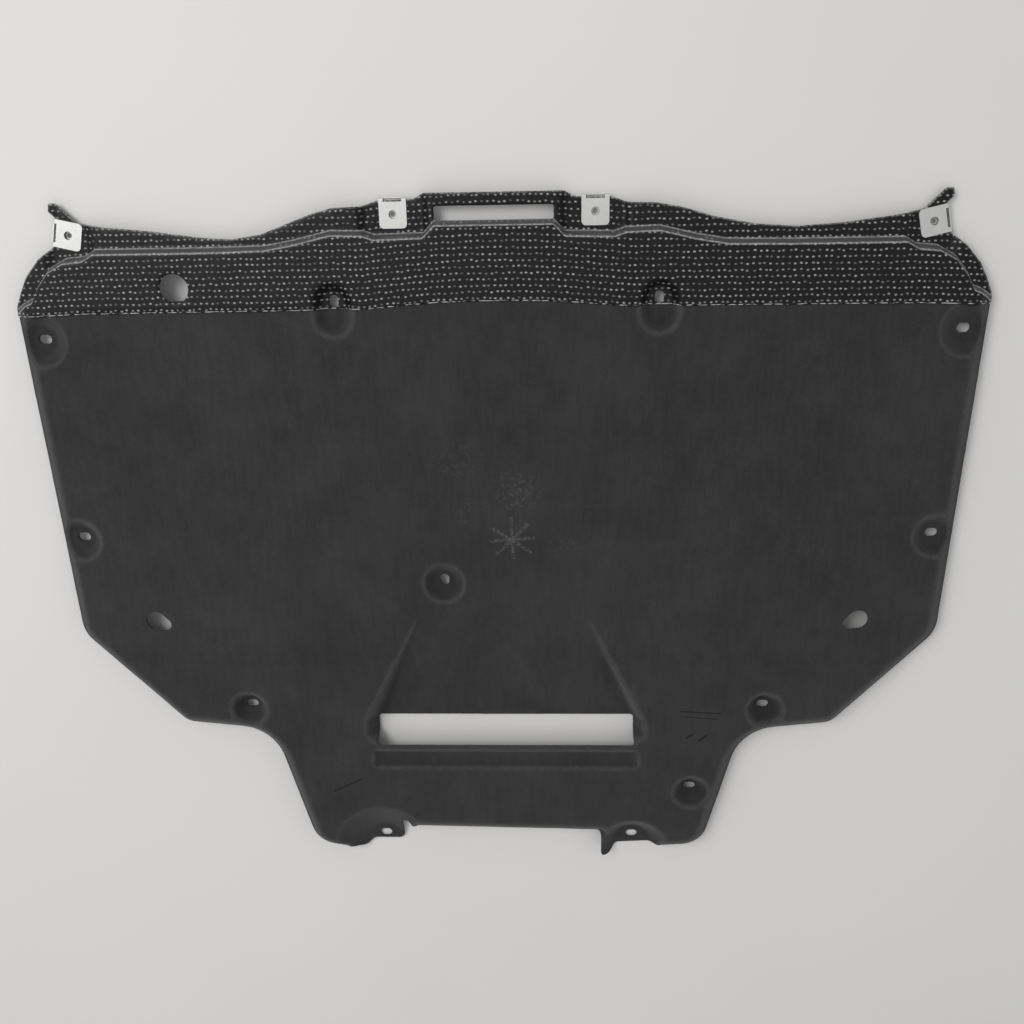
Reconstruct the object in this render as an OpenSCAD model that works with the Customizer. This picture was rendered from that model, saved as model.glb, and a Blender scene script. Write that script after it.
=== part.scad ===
// Underbody shield of a car: a pressed felt panel with a film faced front lip and four clip nuts.
// It lies with its road face up. X runs across the car, +Y is the front, and Z = 0 is the lowest point.

/* [Sheet] */
// Height of the flat road face above the lowest points
face_z = 24; // [20:0.5:30]
// Thickness of the felt
felt_t = 4; // [3:0.25:5]
// Thickness of the flange at its pressed edge
edge_t = 2.5; // [1.5:0.25:3]
// Height of the rear zone above the front zone
rear_rise = 3; // [1:0.5:4]
// Place of the crease between the two zones
crease_y = -116; // [-150:1:-90]
// Length of the sloping crease
crease_len = 12; // [6:1:24]

/* [Panel outline] */
// Half the width of the felt at the seam with the front lip
seam_half = 504; // [480:1:530]
// How much each long side comes in towards its rear end
waist_taper = 13; // [0:1:30]
// Place of the corners at the rear end of the long sides
waist_y = -91; // [-110:1:-50]
// Radius of those corners
waist_r = 36; // [24:1:60]
// Half the width at the rear end of the slanting sides
shoulder_half = 382; // [350:1:410]
// Place of the rear end of the slanting sides
shoulder_y = -208; // [-216:1:-190]
// Radius where the slanting sides meet the shoulders
shoulder_r = 22; // [18:1:40]
// Half the width of the tail where it leaves the shoulders
hip_half = 279; // [262:1:300]
// Distance from the shoulders back to the hips
hip_back = 11; // [4:1:20]
// Radius of the hips
hip_r = 55; // [30:1:70]
// Half the width of the tail at its rear corners
tail_half = 238; // [225:1:250]
// Distance from the rear edge back to the rear corners
tail_back = 21; // [12:1:26]
// Radius of the rear corners
tail_r = 32; // [20:1:45]
// Place of the rear edge between the two tabs
rear_y = -358; // [-364:1:-350]

/* [Flange] */
// Width of the sloping flange
flange_run = 14; // [8:0.5:17]
// Height that the flange falls below the front zone
flange_drop = 12; // [6:0.5:14]

/* [Ramp and vent] */
// Place where the ramp begins
ramp_y = -59; // [-75:1:-40]
// Width of the ramp where it begins
ramp_w0 = 182; // [140:1:220]
// Width of the ramp at the vent
ramp_w1 = 330; // [318:1:350]
// Width of the vent slot
vent_w = 304; // [260:1:310]
// Place of the edge where the ramp floor ends
vent_y = -204; // [-210:1:-190]
// Length of the vent slot
vent_len = 30; // [20:1:34]
// Width of the rim between the vent and the groove
rim_len = 7; // [6:0.5:10]
// Width of the groove across the panel
groove_w = 314; // [280:1:330]
// Length of the groove
groove_len = 22; // [16:1:28]
// Depth of the groove
groove_depth = 6; // [3:0.5:9]

/* [Fixings] */
// Distance of the front side fixings from the side edge
side_a_inset = 22.5; // [20:0.5:26]
// Place of the front side fixings
side_a_y = 252; // [240:1:256]
// Distance of the middle side fixings from the side edge
side_b_inset = 22; // [20:0.5:26]
// Place of the middle side fixings
side_b_y = 28; // [10:1:50]
// Half the distance between the rear side fixings
side_c_half = 302; // [290:1:312]
// Place of the rear side fixings
side_c_y = -185; // [-190:1:-178]
// Length of the slot in a side fixing
side_slot_len = 13.5; // [10:0.5:16]
// Width of the slots in the felt
slot_w = 9.5; // [7:0.5:11]
// Radius of the floor of a side fixing
side_floor_r = 13; // [11:0.5:15]
// Radius of the mouth of the front side fixings
mouth_a_r = 28; // [24:0.5:31]
// Radius of the mouth of the middle side fixings
mouth_b_r = 24; // [21:0.5:28]
// Radius of the mouth of the other round pockets
mouth_c_r = 21; // [19:0.5:24]
// Place of the centre fixing across the car
centre_x = -65; // [-90:1:-40]
// Place of the centre fixing along the car
centre_y = -26; // [-40:1:20]
// Length of its slot, which runs along the car
centre_slot_len = 13; // [11:0.5:16]
// Place of the single rear fixing across the car
single_x = 221; // [200:1:228]
// Place of the single rear fixing along the car
single_y = -297; // [-310:1:-285]

/* [Drain holes] */
// Half the distance between the two drain holes
drain_half = 395; // [370:1:420]
// Place of the drain holes
drain_y = -74; // [-80:1:-40]
// Radius of the wide end of a drain hole
drain_r = 11; // [8:0.5:14]
// Radius of its narrow end
drain_tip_r = 7.5; // [5:0.5:8]
// Distance between the centres of the two ends
drain_len = 10; // [6:0.5:16]
// Slant of the drain holes
drain_tilt = 28; // [0:1:45]

/* [Rear tabs] */
// Half the distance between the tab centres
tab_half = 153; // [148:1:158]
// Distance from the rear edge back to the tab centres
tab_back = 23; // [20:1:25]
// Radius of the flat pad of a tab
tab_pad_r = 22; // [18:0.5:26]
// Radius of the mouth of the left tab
tab_mouth_left = 60; // [50:1:64]
// Radius of the mouth of the right tab
tab_mouth_right = 42; // [38:1:48]
// Distance from the tab centre forward to its slot
tab_slot_ahead = 9; // [7:0.5:12]

/* [Front lip] */
// Thickness of the film faced lip
lip_t = 2.5; // [2:0.25:3.5]
// Height of the lip face above the felt beside it
lip_step = 1; // [0.5:0.25:1.5]
// Place of the front edge at the middle
front_y = 394; // [390:1:400]
// Place of the seam between felt and lip, beside its bow
seam_y = 279; // [274:1:284]
// Distance that the lip stands past the felt at each side
lip_over = 1; // [0:0.5:3]
// Height that the edge strip lies below the lip face
strip_drop = 10; // [6:0.5:14]
// Length of the wall between the face and the strip
wall_run = 4; // [3:0.5:6]
// Length of the felt tongue under the lip
tongue_len = 12; // [8:1:20]
// Width of the grip slot
grip_w = 121; // [100:1:124]
// Length of the grip slot
grip_len = 14; // [8:0.5:15]
// Distance from the front edge to the middle of the grip slot
grip_back = 20; // [18:0.5:21]
// Diameter of the access hole
access_d = 30; // [20:1:40]
// Place of the access hole across the car
access_x = -331; // [-360:1:-300]
// Distance from the seam to the middle of the access hole
access_ahead = 25; // [22:1:30]

/* [Seam pockets] */
// Half the distance between the two seam pockets
seam_pocket_half = 168.5; // [155:0.5:185]
// Radius of their mouth
seam_mouth_r = 20; // [18:0.5:24]
// Radius of their floor
seam_floor_r = 12; // [10:0.5:14]
// Distance between the centres of their round ends
seam_pocket_len = 15; // [12:0.5:20]
// Depth of the seam pockets
seam_pocket_depth = 12; // [8:0.5:14]
// Width of the slot in a seam pocket
seam_slot_w = 9.5; // [6:0.5:10]
// Length of that slot
seam_slot_len = 13; // [10:0.5:14]

/* [Clip nuts] */
// Width of a clip nut
clip_w = 28; // [22:0.5:32]
// Length of a clip nut from its fold to its free end
clip_len = 30.5; // [27:0.5:34]
// Thickness of the spring steel
clip_t = 1; // [0.6:0.1:1.4]
// Room between each leg and the lip
clip_play = 0.1; // [0.05:0.05:0.2]
// Distance from the edge of the lip to the screw axis
clip_reach = 14; // [12:0.5:15]
// Width of the relief window in the fold
clip_window = 19; // [12:0.5:20]
// Thread bore of the collar
thread_d = 5; // [4:0.1:6.5]
// Outer diameter of the collar
collar_d = 9; // [8:0.25:11]
// Height of the collar behind the leg
collar_h = 4.5; // [3:0.25:6]
// Hole in the front leg
lead_d = 8.5; // [7:0.25:9.5]
// Half the distance between the inner clip nuts
clip_in_half = 102.5; // [98:0.5:106]
// Distance of the outer clip nuts from the side edge
clip_out_inset = 64; // [62:0.5:66]
// Distance of the outer clip nuts behind the front edge
clip_out_back = 36; // [34:0.5:38]
// Slant of the outer clip nuts
clip_out_tilt = 13; // [8:0.5:16]

/* [Hidden] */
$fn = 48;
over = 5;
joint_gap = 0.2;
turn_step = 15;
fold_y = 0.3;
cheek_y = vent_y - 16;
flange_floor = face_z - flange_drop;
seam_floor_z = face_z - seam_pocket_depth;
tab_floor = felt_t;
lip_face = face_z + lip_step;
clip_gap = lip_t + 2 * clip_play;
pad_z = collar_h + clip_t + clip_play + lip_t;
pad_drop = lip_face - pad_z;
vent_end = vent_y - vent_len;
groove_y = vent_end - rim_len;
waist_half = seam_half - waist_taper;
lip_half = seam_half + lip_over;
hip_y = shoulder_y - hip_back;
tail_y = rear_y - tail_back;
tab_y = rear_y - tab_back;
tab_slot_y = tab_y + tab_slot_ahead;

// Places across the car given as distances in from the side edge of the felt
function from_side(table) = [for (p = table) [seam_half - p[0], p[1]]];
// The seam ahead of seam_y at distances from the middle, where it bows forward
seam_line = concat([[0, 8], [24, 8], [60, 7], [100, 4], [136, 1]], from_side([[74, 0], [-8, -3]]));
// Line of the ridge where the wall of the lip begins, from the front edge at the middle
ridge_line = concat([[0, -31], [60, -31], [72, -43], [122, -44], [134, -40], [166, -39], [205, -48],
                     [235, -53], [300, -54]],
                    from_side([[93, -54], [80, -61], [59, -63], [42, -72], [28, -89], [17, -111],
                               [-8, -118]]));
// Front edge at distances from the middle, from its place there
edge_middle = [[0, 0], [71, 0], [81, -6], [119, -7], [134, -12], [164, -13]];
edge_left = concat([[190, -20], [225, -33], [240, -38], [270, -42], [300, -40], [350, -33]],
                   from_side([[104, -28]]));
edge_right = concat([[190, -18], [220, -27], [262, -35], [305, -38], [350, -35]], from_side([[104, -29]]));
edge_end = from_side([[80, -25], [72, -22], [53.5, -18], [47.5, -45], [44, -49], [30, -59], [14, -77],
                      [6, -92], [-1, -108], [-8, -110]]);
horn = from_side([[74, -24], [55, -4], [47.5, -4], [46, -12], [54, -20], [64, -30]]);

function unit(v) = v / norm(v);
function limit(v, low, high) = min(max(v, low), high);
function turned(v) = [v.y, -v.x];

// Points of the arc that rounds the corner b between a and c, where the third number of b is its radius
function corner(a, b, c) = let(
    at = [b.x, b.y],
    u = unit([a.x, a.y] - at),
    w = unit([c.x, c.y] - at),
    half = acos(u * w) / 2,
    start = at + u * b.z / tan(half),
    end = at + w * b.z / tan(half),
    middle = at + unit(u + w) * b.z / sin(half),
    from = atan2(start.y - middle.y, start.x - middle.x),
    swing = atan2(end.y - middle.y, end.x - middle.x) - from,
    sweep = swing > 180 ? swing - 360 : swing < -180 ? swing + 360 : swing,
    steps = ceil(abs(sweep) / turn_step)
  ) [for (i = [0:steps]) middle + b.z * [cos(from + sweep * i / steps), sin(from + sweep * i / steps)]];

// A path with its inner corners rounded
function rounded(p) = [for (i = [0:len(p) - 1])
  each (i == 0 || i == len(p) - 1 || p[i].z == 0) ? [[p[i].x, p[i].y]] : corner(p[i - 1], p[i], p[i + 1])];

// A path moved sideways to its right hand by d, with mitred corners
function beside(p, d) = [for (i = [0:len(p) - 1]) let(
    before = turned(unit(i == 0 ? p[1] - p[0] : p[i] - p[i - 1])),
    after = turned(unit(i == len(p) - 1 ? p[i] - p[i - 1] : p[i + 1] - p[i])),
    m = unit(before + after)
  ) p[i] + m * d / (m * before)];

// A path with a point added where its inner side crosses a line across the car
function split(p, y) = [for (i = [0:len(p) - 1]) each i == len(p) - 1 ? [p[i]] : let(
    shift = turned(unit(p[i + 1] - p[i])).y * flange_run,
    t = (y - shift - p[i].y) / (p[i + 1].y - p[i].y)
  ) t > 0.001 && t < 0.999 ? [p[i], p[i] + t * (p[i + 1] - p[i])] : [p[i]]];
function creased(p) = split(split(p, crease_y), crease_y - crease_len);

function reversed(p) = [for (i = [len(p) - 1:-1:0]) p[i]];
function mirrored(p) = [for (q = p) [-q.x, q.y, q.z]];

// Height of the road face of the felt
function face_at(y) = face_z + rear_rise * limit((crease_y - y) / crease_len, 0, 1);
function seam_at(x) = seam_y + lookup(abs(x), seam_line);
seam_slot_y = seam_at(seam_pocket_half) + seam_slot_len / 2 + 1.5;

// The outline clockwise from the front right corner, with a radius for each corner
side = [[seam_half, seam_at(seam_half), 0], [waist_half, waist_y, waist_r],
        [shoulder_half, shoulder_y, shoulder_r], [hip_half, hip_y, hip_r], [tail_half, tail_y, tail_r]];
tab_right_edge = [[tab_half - 19, tab_y - 4, 6], [tab_half - 27, tab_y - 13, 5],
                  [tab_half - 38, tab_y - 13, 7], [tab_half - 38, rear_y - 2, 6]];
tab_left_edge = [[35 - tab_half, rear_y + 3, 4], [31 - tab_half, rear_y + 12, 3],
                 [23 - tab_half, rear_y + 12, 3], [23 - tab_half, tab_y + 1, 7],
                 [-15 - tab_half, tab_y + 1, 8], [-24 - tab_half, tab_y - 8, 8]];
outline = rounded(concat(side, tab_right_edge, tab_left_edge, reversed(mirrored(side))));
right_side = creased(rounded(concat(side, [[tab_half + 35, tab_y - 1, 0]])));
rear_side = [[tab_half - 40, rear_y - 2], [42 - tab_half, rear_y + 3]];
left_side = creased(rounded(concat([[-47 - tab_half, tab_y - 5, 0]], reversed(mirrored(side)))));

// Places across the car at which the seam and the lip are drawn, closer together where the lip bends
half_stations = concat([for (x = [20:20:40]) x], [for (x = [56:4:84]) x], [for (x = [90:14:118]) x],
                       [for (x = [122:4:142]) x], [for (x = [150:9:240]) x],
                       [for (x = [252:20:seam_half - 100]) x], [for (d = [96:-4:56]) seam_half - d],
                       [for (d = [53.5, 50.5, 47.5, 44, 40, 36]) seam_half - d],
                       [for (d = [31:-5:6]) seam_half - d], [seam_half - 2, lip_half]);
stations = concat([for (i = [len(half_stations) - 1:-1:0]) -half_stations[i]], [0], half_stations);

// A closed solid from rings of points, each with its road face points first and as many below them
module skin(rings) {
  n = len(rings[0]);
  last = (len(rings) - 1) * n;
  polyhedron(
    points = [for (r = rings) each r],
    faces = concat(
      [for (i = [0:n:last - n]) for (j = [0:n - 1]) each
        [[i + (j + 1) % n, i + n + j, i + j], [i + (j + 1) % n, i + n + (j + 1) % n, i + n + j]]],
      [for (j = [0:n / 2 - 2]) each [[n - 2 - j, j + 1, j], [n - 1 - j, n - 2 - j, j]]],
      [for (j = [0:n / 2 - 2]) each
        [[last + j, last + j + 1, last + n - 2 - j], [last + j, last + n - 2 - j, last + n - 1 - j]]]));
}

// A block with sloping sides between a low and a high rectangle, each given as left, rear, right and front
module frustum(low, low_z, high, high_z) {
  function ring(r, z) = [[r[0], r[1], z], [r[0], r[3], z], [r[2], r[3], z], [r[2], r[1], z]];
  skin([ring(low, low_z), ring(high, high_z)]);
}

// The sloping flange along one stretch of the outline
module flange(path) {
  bend = 0.3;
  inner = beside(path, flange_run);
  middle = beside(path, flange_run * (1 - bend));
  skin([for (i = [0:len(path) - 1]) let(
      top = face_at(inner[i].y),
      fall = top - flange_floor
    ) [[inner[i].x, inner[i].y, top],
       [middle[i].x, middle[i].y, top - fall * bend * 0.4],
       [path[i].x, path[i].y, flange_floor],
       [path[i].x, path[i].y, flange_floor - edge_t],
       [middle[i].x, middle[i].y, top - fall * bend * 0.4 - felt_t],
       [inner[i].x, inner[i].y, top - felt_t]]]);
}

// The flat felt inside the flanges, with the crease across it
module plate() {
  plan = concat(beside(right_side, flange_run), beside(rear_side, flange_run), beside(left_side, flange_run),
                [for (x = stations) if (abs(x) < seam_half - flange_run - 2) [x, seam_at(x)]]);
  profile = [[front_y, face_z], [crease_y, face_z], [crease_y - crease_len, face_z + rear_rise],
             [-front_y, face_z + rear_rise], [-front_y, face_z + rear_rise - felt_t],
             [crease_y - crease_len, face_z + rear_rise - felt_t], [crease_y, face_z - felt_t],
             [front_y, face_z - felt_t]];
  intersection() {
    rotate([90, 0, 90]) linear_extrude(height = 2 * seam_half, center = true) polygon(profile);
    linear_extrude(height = 2 * face_z) polygon(plan);
  }
}

// The tongue of felt that the lip lies on, which stops short of the seam pockets
module tongue() {
  stretches = [[-seam_half + 2 * flange_run + 22, -seam_pocket_half - seam_mouth_r - 8],
               [-seam_pocket_half + seam_mouth_r + 8, seam_pocket_half - seam_mouth_r - 8],
               [seam_pocket_half + seam_mouth_r + 8, seam_half - 2 * flange_run - 22]];
  for (s = stretches) {
    along = concat([s[0]], [for (x = stations) if (x > s[0] && x < s[1]) x], [s[1]]);
    translate([0, 0, face_z - felt_t])
      linear_extrude(height = felt_t - lip_t + lip_step)
        polygon(concat([for (x = along) [x, seam_at(x) + tongue_len]],
                       [for (x = reversed(along)) [x, seam_at(x) - 1]]));
  }
}

// A round ended slot that runs along X, as a flat shape
module slot_plan(length, width) {
  for (s = [-1, 1]) translate([s * (length - width) / 2, 0]) circle(d = width);
  square([length - width, width], center = true);
}

// A rectangle with round corners, as a flat shape
module rounded_plan(size, r) {
  for (sx = [-1, 1]) for (sy = [-1, 1])
    translate([sx * (size.x / 2 - r), sy * (size.y / 2 - r)]) circle(r = r);
  square([size.x - 2 * r, size.y], center = true);
  square([size.x, size.y - 2 * r], center = true);
}

// A flat shape cut right through the part
module through() {
  translate([0, 0, -over]) linear_extrude(height = 2 * face_z + over) children();
}

// A cone whose side stands a wall's thickness outside a pocket with the given floor and mouth
module pocket_cone(floor_z, top_z, floor_r, mouth_r, wall, from_z, to_z) {
  spread = (mouth_r - floor_r) / (top_z - floor_z);
  out = wall * sqrt(1 + spread * spread) - spread * floor_z + floor_r;
  translate([0, 0, from_z]) cylinder(h = to_z - from_z, r1 = out + spread * from_z, r2 = out + spread * to_z);
}

// Half the width of the felt along its long sides
function side_at(y) = seam_half - waist_taper * (seam_at(seam_half) - y) / (seam_at(seam_half) - waist_y);
side_a_half = side_at(side_a_y) - side_a_inset;
side_b_half = side_at(side_b_y) - side_b_inset;

// Every round pocket of the felt: place, floor height, floor radius and mouth radius
pockets = concat(
  [for (s = [-1, 1]) [[s * side_a_half, side_a_y], flange_floor, side_floor_r, mouth_a_r]],
  [for (s = [-1, 1]) [[s * side_b_half, side_b_y], flange_floor, side_floor_r, mouth_b_r]],
  [for (s = [-1, 1]) [[s * side_c_half, side_c_y], flange_floor, side_floor_r - 2, mouth_c_r]],
  [[[centre_x, centre_y], flange_floor, side_floor_r - 1, mouth_c_r + 2]],
  [[[single_x, single_y], flange_floor, side_floor_r - 3, mouth_c_r]],
  [[[-tab_half, tab_y], tab_floor, tab_pad_r, tab_mouth_left]],
  [[[tab_half, tab_y], tab_floor, tab_pad_r, tab_mouth_right]]);

module pocket_shells() {
  intersection() {
    for (p = pockets) translate(p[0])
      pocket_cone(p[1], face_at(p[0].y), p[2], p[3], felt_t, p[1] - felt_t, face_at(p[0].y) - felt_t / 4);
    linear_extrude(height = 2 * face_z) polygon(outline);
  }
}

module pocket_bowls() {
  for (p = pockets) translate(p[0])
    pocket_cone(p[1], face_at(p[0].y), p[2], p[3], 0, p[1], face_at(p[0].y) + 1);
}

// The slots of the felt: place, length and turn
felt_slots = concat(
  [for (p = pockets) if (p[0].x != centre_x && abs(p[0].y) < abs(tab_y)) [p[0], side_slot_len, 0]],
  [[[centre_x, centre_y], centre_slot_len, 90]],
  [for (s = [-1, 1]) [[s * tab_half, tab_slot_y], side_slot_len, 0]]);

// The oblong pockets that both pieces share at the seam, with their sides grown outward by a wall
module seam_pockets(wall, from_z, to_z) {
  for (side = [-1, 1]) translate([side * seam_pocket_half, seam_at(seam_pocket_half)])
    hull() for (end = [-1, 1]) translate([0, end * seam_pocket_len / 2])
      pocket_cone(seam_floor_z, face_z, seam_floor_r, seam_mouth_r, wall, from_z, to_z, $fn = 32);
}

// The room behind the seam, or in front of it
module rear_room() {
  through() polygon(concat([for (x = stations) [x, seam_at(x)]],
                           [[lip_half, -front_y], [-lip_half, -front_y]]));
}

module front_room() {
  through() polygon(concat([for (x = stations) [x, seam_at(x) + joint_gap]],
                           [[lip_half, front_y], [-lip_half, front_y]]));
}

// One ring of the ramp: a level top of one half width over a level floor of another
function ramp_ring(y, top_half, top, floor_half, floor_z) =
  [[-top_half, y, top], [top_half, y, top], [floor_half, y, floor_z], [-floor_half, y, floor_z]];

// The space above the ramp floor, which falls towards the vent
module ramp_space() {
  top = face_z + rear_rise + 1;
  skin([ramp_ring(ramp_y, ramp_w0 / 2, top, ramp_w0 / 2, face_z),
        ramp_ring(vent_y, ramp_w1 / 2, top, vent_w / 2, tab_floor),
        ramp_ring(cheek_y - 1, ramp_w1 / 2, top, vent_w / 2, tab_floor)]);
}

// The felt under the ramp and beside it
module ramp_shell() {
  top = face_z - 0.5;
  side = felt_t * 0.7;
  skin([ramp_ring(ramp_y + felt_t, ramp_w0 / 2 + felt_t, top, ramp_w0 / 2 + felt_t, face_z - felt_t),
        ramp_ring(vent_y, ramp_w1 / 2 + felt_t, top, vent_w / 2 + side, tab_floor - felt_t),
        ramp_ring(cheek_y, ramp_w1 / 2 + felt_t, top, vent_w / 2 + side, tab_floor - felt_t)]);
}

// The groove behind the vent, grown outward by a wall
module groove(wall, top) {
  slope = 0.5;
  floor_z = face_z + rear_rise - groove_depth;
  function sides(z) = let(out = wall * 1.1 + (z - floor_z - groove_depth) * slope)
    [-groove_w / 2 - out, groove_y - groove_len - out, groove_w / 2 + out, groove_y + out];
  frustum(sides(floor_z - wall), floor_z - wall, sides(top), top);
}

module felt_panel() color([0.2, 0.2, 0.21]) {
  top = face_z + rear_rise;
  difference() {
    union() {
      plate();
      for (path = [right_side, rear_side, left_side]) flange(path);
      tongue();
      pocket_shells();
      intersection() {
        seam_pockets(felt_t, seam_floor_z - felt_t, face_z - felt_t / 4);
        rear_room();
      }
      ramp_shell();
      groove(felt_t, top - felt_t / 4);
    }
    pocket_bowls();
    seam_pockets(0, seam_floor_z, face_z + 1);
    ramp_space();
    groove(0, top + 1);
    through() translate([0, vent_y - vent_len / 2]) rounded_plan([vent_w, vent_len], 3);
    for (s = felt_slots) through() translate(s[0]) rotate(s[2]) slot_plan(s[1], slot_w);
    for (s = [-1, 1]) through() translate([s * drain_half, drain_y]) rotate(s * drain_tilt) drain_plan(s);
  }
}

// A drain hole, wide at the outer end and narrow at the inner end
module drain_plan(side) {
  lean = asin((drain_r - drain_tip_r) / drain_len);
  function rim(x, r, s) = [x + r * sin(lean) * side * -1, s * r * cos(lean)];
  wide = side * drain_len / 2;
  translate([wide, 0]) circle(r = drain_r);
  translate([-wide, 0]) circle(r = drain_tip_r);
  polygon([rim(wide, drain_r, 1), rim(-wide, drain_tip_r, 1), rim(-wide, drain_tip_r, -1),
           rim(wide, drain_r, -1)]);
}

// Height of the edge strip of the lip below its face, at distances from the middle
drop_line = concat([[0, strip_drop], [66, strip_drop], [72, pad_drop], [132, pad_drop], [138, strip_drop]],
                   from_side([[92, strip_drop], [84, pad_drop], [46, pad_drop], [36, flange_drop],
                              [-8, flange_drop]]));
function edge_at(x) = front_y + lookup(abs(x), concat(edge_middle, x < 0 ? edge_left : edge_right, edge_end));
function lip_face_at(x) =
  lip_face - flange_drop * limit((abs(x) - seam_half + flange_run) / flange_run, 0, 1);

// Section of the road face of the lip at one place across the car, from the seam to the front edge
function lip_section(x) = let(
    rear = seam_at(x) + joint_gap,
    front = edge_at(x),
    ridge = limit(lookup(abs(x), ridge_line), rear + 0.3 * (front - rear), front - 6),
    foot = min(ridge + wall_run, ridge + 0.6 * (front - ridge)),
    brow = min(3, 0.3 * (ridge - rear)),
    face = lip_face_at(x),
    strip = lip_face - lookup(abs(x), drop_line)
  ) [[rear, face], [(rear + ridge) / 2, face], [ridge - brow, face], [ridge, max(face - 1.2, strip)],
     [foot, strip], [front, strip]];

module lip_sheet() {
  skin([for (x = stations) let(road = lip_section(x), back = beside(road, lip_t))
    concat([for (p = road) [x, p.x, p.y]], [for (p = reversed(back)) [x, p.x, p.y]])]);
}

// Places of the clip nuts: where the screw axis is and which way the fold faces
inner_place = [clip_in_half, edge_at(clip_in_half) - clip_reach];
outer_place = [seam_half - clip_out_inset, front_y - clip_out_back];

module front_lip() color([0.1, 0.1, 0.11]) {
  difference() {
    union() {
      lip_sheet();
      for (s = [-1, 1]) translate([0, 0, pad_z - lip_t + 0.1]) linear_extrude(height = lip_t - 0.2)
        polygon([for (p = horn) [s * p.x, front_y + p.y]]);
      intersection() {
        seam_pockets(lip_t, seam_floor_z - lip_t, face_z);
        front_room();
      }
    }
    seam_pockets(0, seam_floor_z, lip_face + 1);
    for (s = [-1, 1]) through() translate([s * seam_pocket_half, seam_slot_y])
      rotate(90) slot_plan(seam_slot_len, seam_slot_w);
    through() translate([0, front_y - grip_back]) rounded_plan([grip_w, grip_len], 2);
    through() translate([access_x, seam_at(access_x) + access_ahead]) circle(d = access_d);
    for (s = [-1, 1]) for (p = [inner_place, outer_place])
      through() translate([s * p.x, p.y]) circle(d = lead_d);
  }
}

// A leg of a clip nut, from the fold to its free end, with its screw axis at the origin
module clip_leg() {
  r = 4.5;
  free = clip_len - clip_reach - fold_y - clip_gap / 2 - clip_t;
  for (s = [-1, 1]) translate([s * (clip_w / 2 - r), r - free]) circle(r = r);
  translate([-clip_w / 2, r - free]) square([clip_w, clip_reach + fold_y + free - r]);
  translate([r - clip_w / 2, -free]) square([clip_w - 2 * r, 2 * r]);
}

// A clip nut on the lip, with its screw axis at the origin, its fold towards +Y and the lip face at Z = 0
module clip_nut() color([0.78, 0.79, 0.77]) {
  below = -lip_t - clip_play - clip_t;
  difference() {
    union() {
      translate([0, 0, clip_play]) linear_extrude(height = clip_t) clip_leg();
      translate([0, 0, below]) linear_extrude(height = clip_t) clip_leg();
      intersection() {
        translate([0, clip_reach + fold_y, -lip_t / 2]) rotate([0, 90, 0])
          cylinder(h = clip_w, r = clip_gap / 2 + clip_t, center = true);
        translate([-clip_w / 2, clip_reach + fold_y, below]) cube([clip_w, clip_w, clip_w]);
      }
      translate([0, 0, below - collar_h]) cylinder(h = collar_h + clip_t / 2, d = collar_d);
    }
    translate([0, clip_reach + fold_y, -lip_t / 2]) rotate([0, 90, 0])
      cylinder(h = clip_w + 2, r = clip_gap / 2, center = true);
    translate([0, 0, below - collar_h - 1]) cylinder(h = collar_h + clip_t + 2, d = thread_d);
    translate([0, 0, clip_play - 1]) cylinder(h = clip_t + 2, d = lead_d);
    translate([0, clip_reach + fold_y + 0.5, clip_play])
      cube([clip_window, clip_gap + 2 * clip_t, 2 * clip_t], center = true);
  }
}

module inner_clip(side) {
  translate([side * inner_place.x, inner_place.y, pad_z]) clip_nut();
}

module outer_clip(side) {
  translate([side * outer_place.x, outer_place.y, pad_z]) rotate(side * (clip_out_tilt - 90)) clip_nut();
}

module clip_nut_outer_left() { outer_clip(-1); }
module clip_nut_inner_left() { inner_clip(-1); }
module clip_nut_inner_right() { inner_clip(1); }
module clip_nut_outer_right() { outer_clip(1); }

felt_panel();
front_lip();
clip_nut_outer_left();
clip_nut_inner_left();
clip_nut_inner_right();
clip_nut_outer_right();
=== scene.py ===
"""Looks of a car's underbody shield: pressed felt, a film faced front lip and four zinc clip nuts.

Sizes are in millimetres until a mesh is made. X runs across the car, +Y is its front, and the floor is at Z = 0.
"""
import math

import bmesh
import bpy
import numpy as np
from mathutils import Euler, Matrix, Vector, geometry


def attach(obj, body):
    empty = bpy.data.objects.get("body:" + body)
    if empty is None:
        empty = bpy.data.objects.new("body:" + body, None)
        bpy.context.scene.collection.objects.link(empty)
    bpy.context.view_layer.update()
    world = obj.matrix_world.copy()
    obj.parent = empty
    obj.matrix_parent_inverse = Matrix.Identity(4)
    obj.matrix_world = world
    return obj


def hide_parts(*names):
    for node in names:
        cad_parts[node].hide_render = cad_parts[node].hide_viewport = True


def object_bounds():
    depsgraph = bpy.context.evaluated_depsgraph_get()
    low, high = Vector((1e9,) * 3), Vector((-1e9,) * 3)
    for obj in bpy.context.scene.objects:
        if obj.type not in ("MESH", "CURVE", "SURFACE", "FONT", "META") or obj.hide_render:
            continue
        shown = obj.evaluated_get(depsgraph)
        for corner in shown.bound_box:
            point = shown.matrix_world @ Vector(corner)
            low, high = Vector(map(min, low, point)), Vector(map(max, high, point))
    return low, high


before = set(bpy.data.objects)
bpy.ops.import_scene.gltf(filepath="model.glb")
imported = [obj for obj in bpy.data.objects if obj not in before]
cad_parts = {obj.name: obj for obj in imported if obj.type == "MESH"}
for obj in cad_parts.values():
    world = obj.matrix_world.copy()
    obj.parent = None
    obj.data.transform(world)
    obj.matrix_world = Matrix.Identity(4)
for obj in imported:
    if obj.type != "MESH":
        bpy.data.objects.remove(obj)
cad_box = [list(corner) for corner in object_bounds()]

MM = 0.001

# Sheet, as in the part's source
FACE_Z = 24.0
FELT_T = 4.0
EDGE_T = 2.5
REAR_RISE = 3.0
CREASE_Y = -116.0
CREASE_LEN = 12.0

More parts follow.
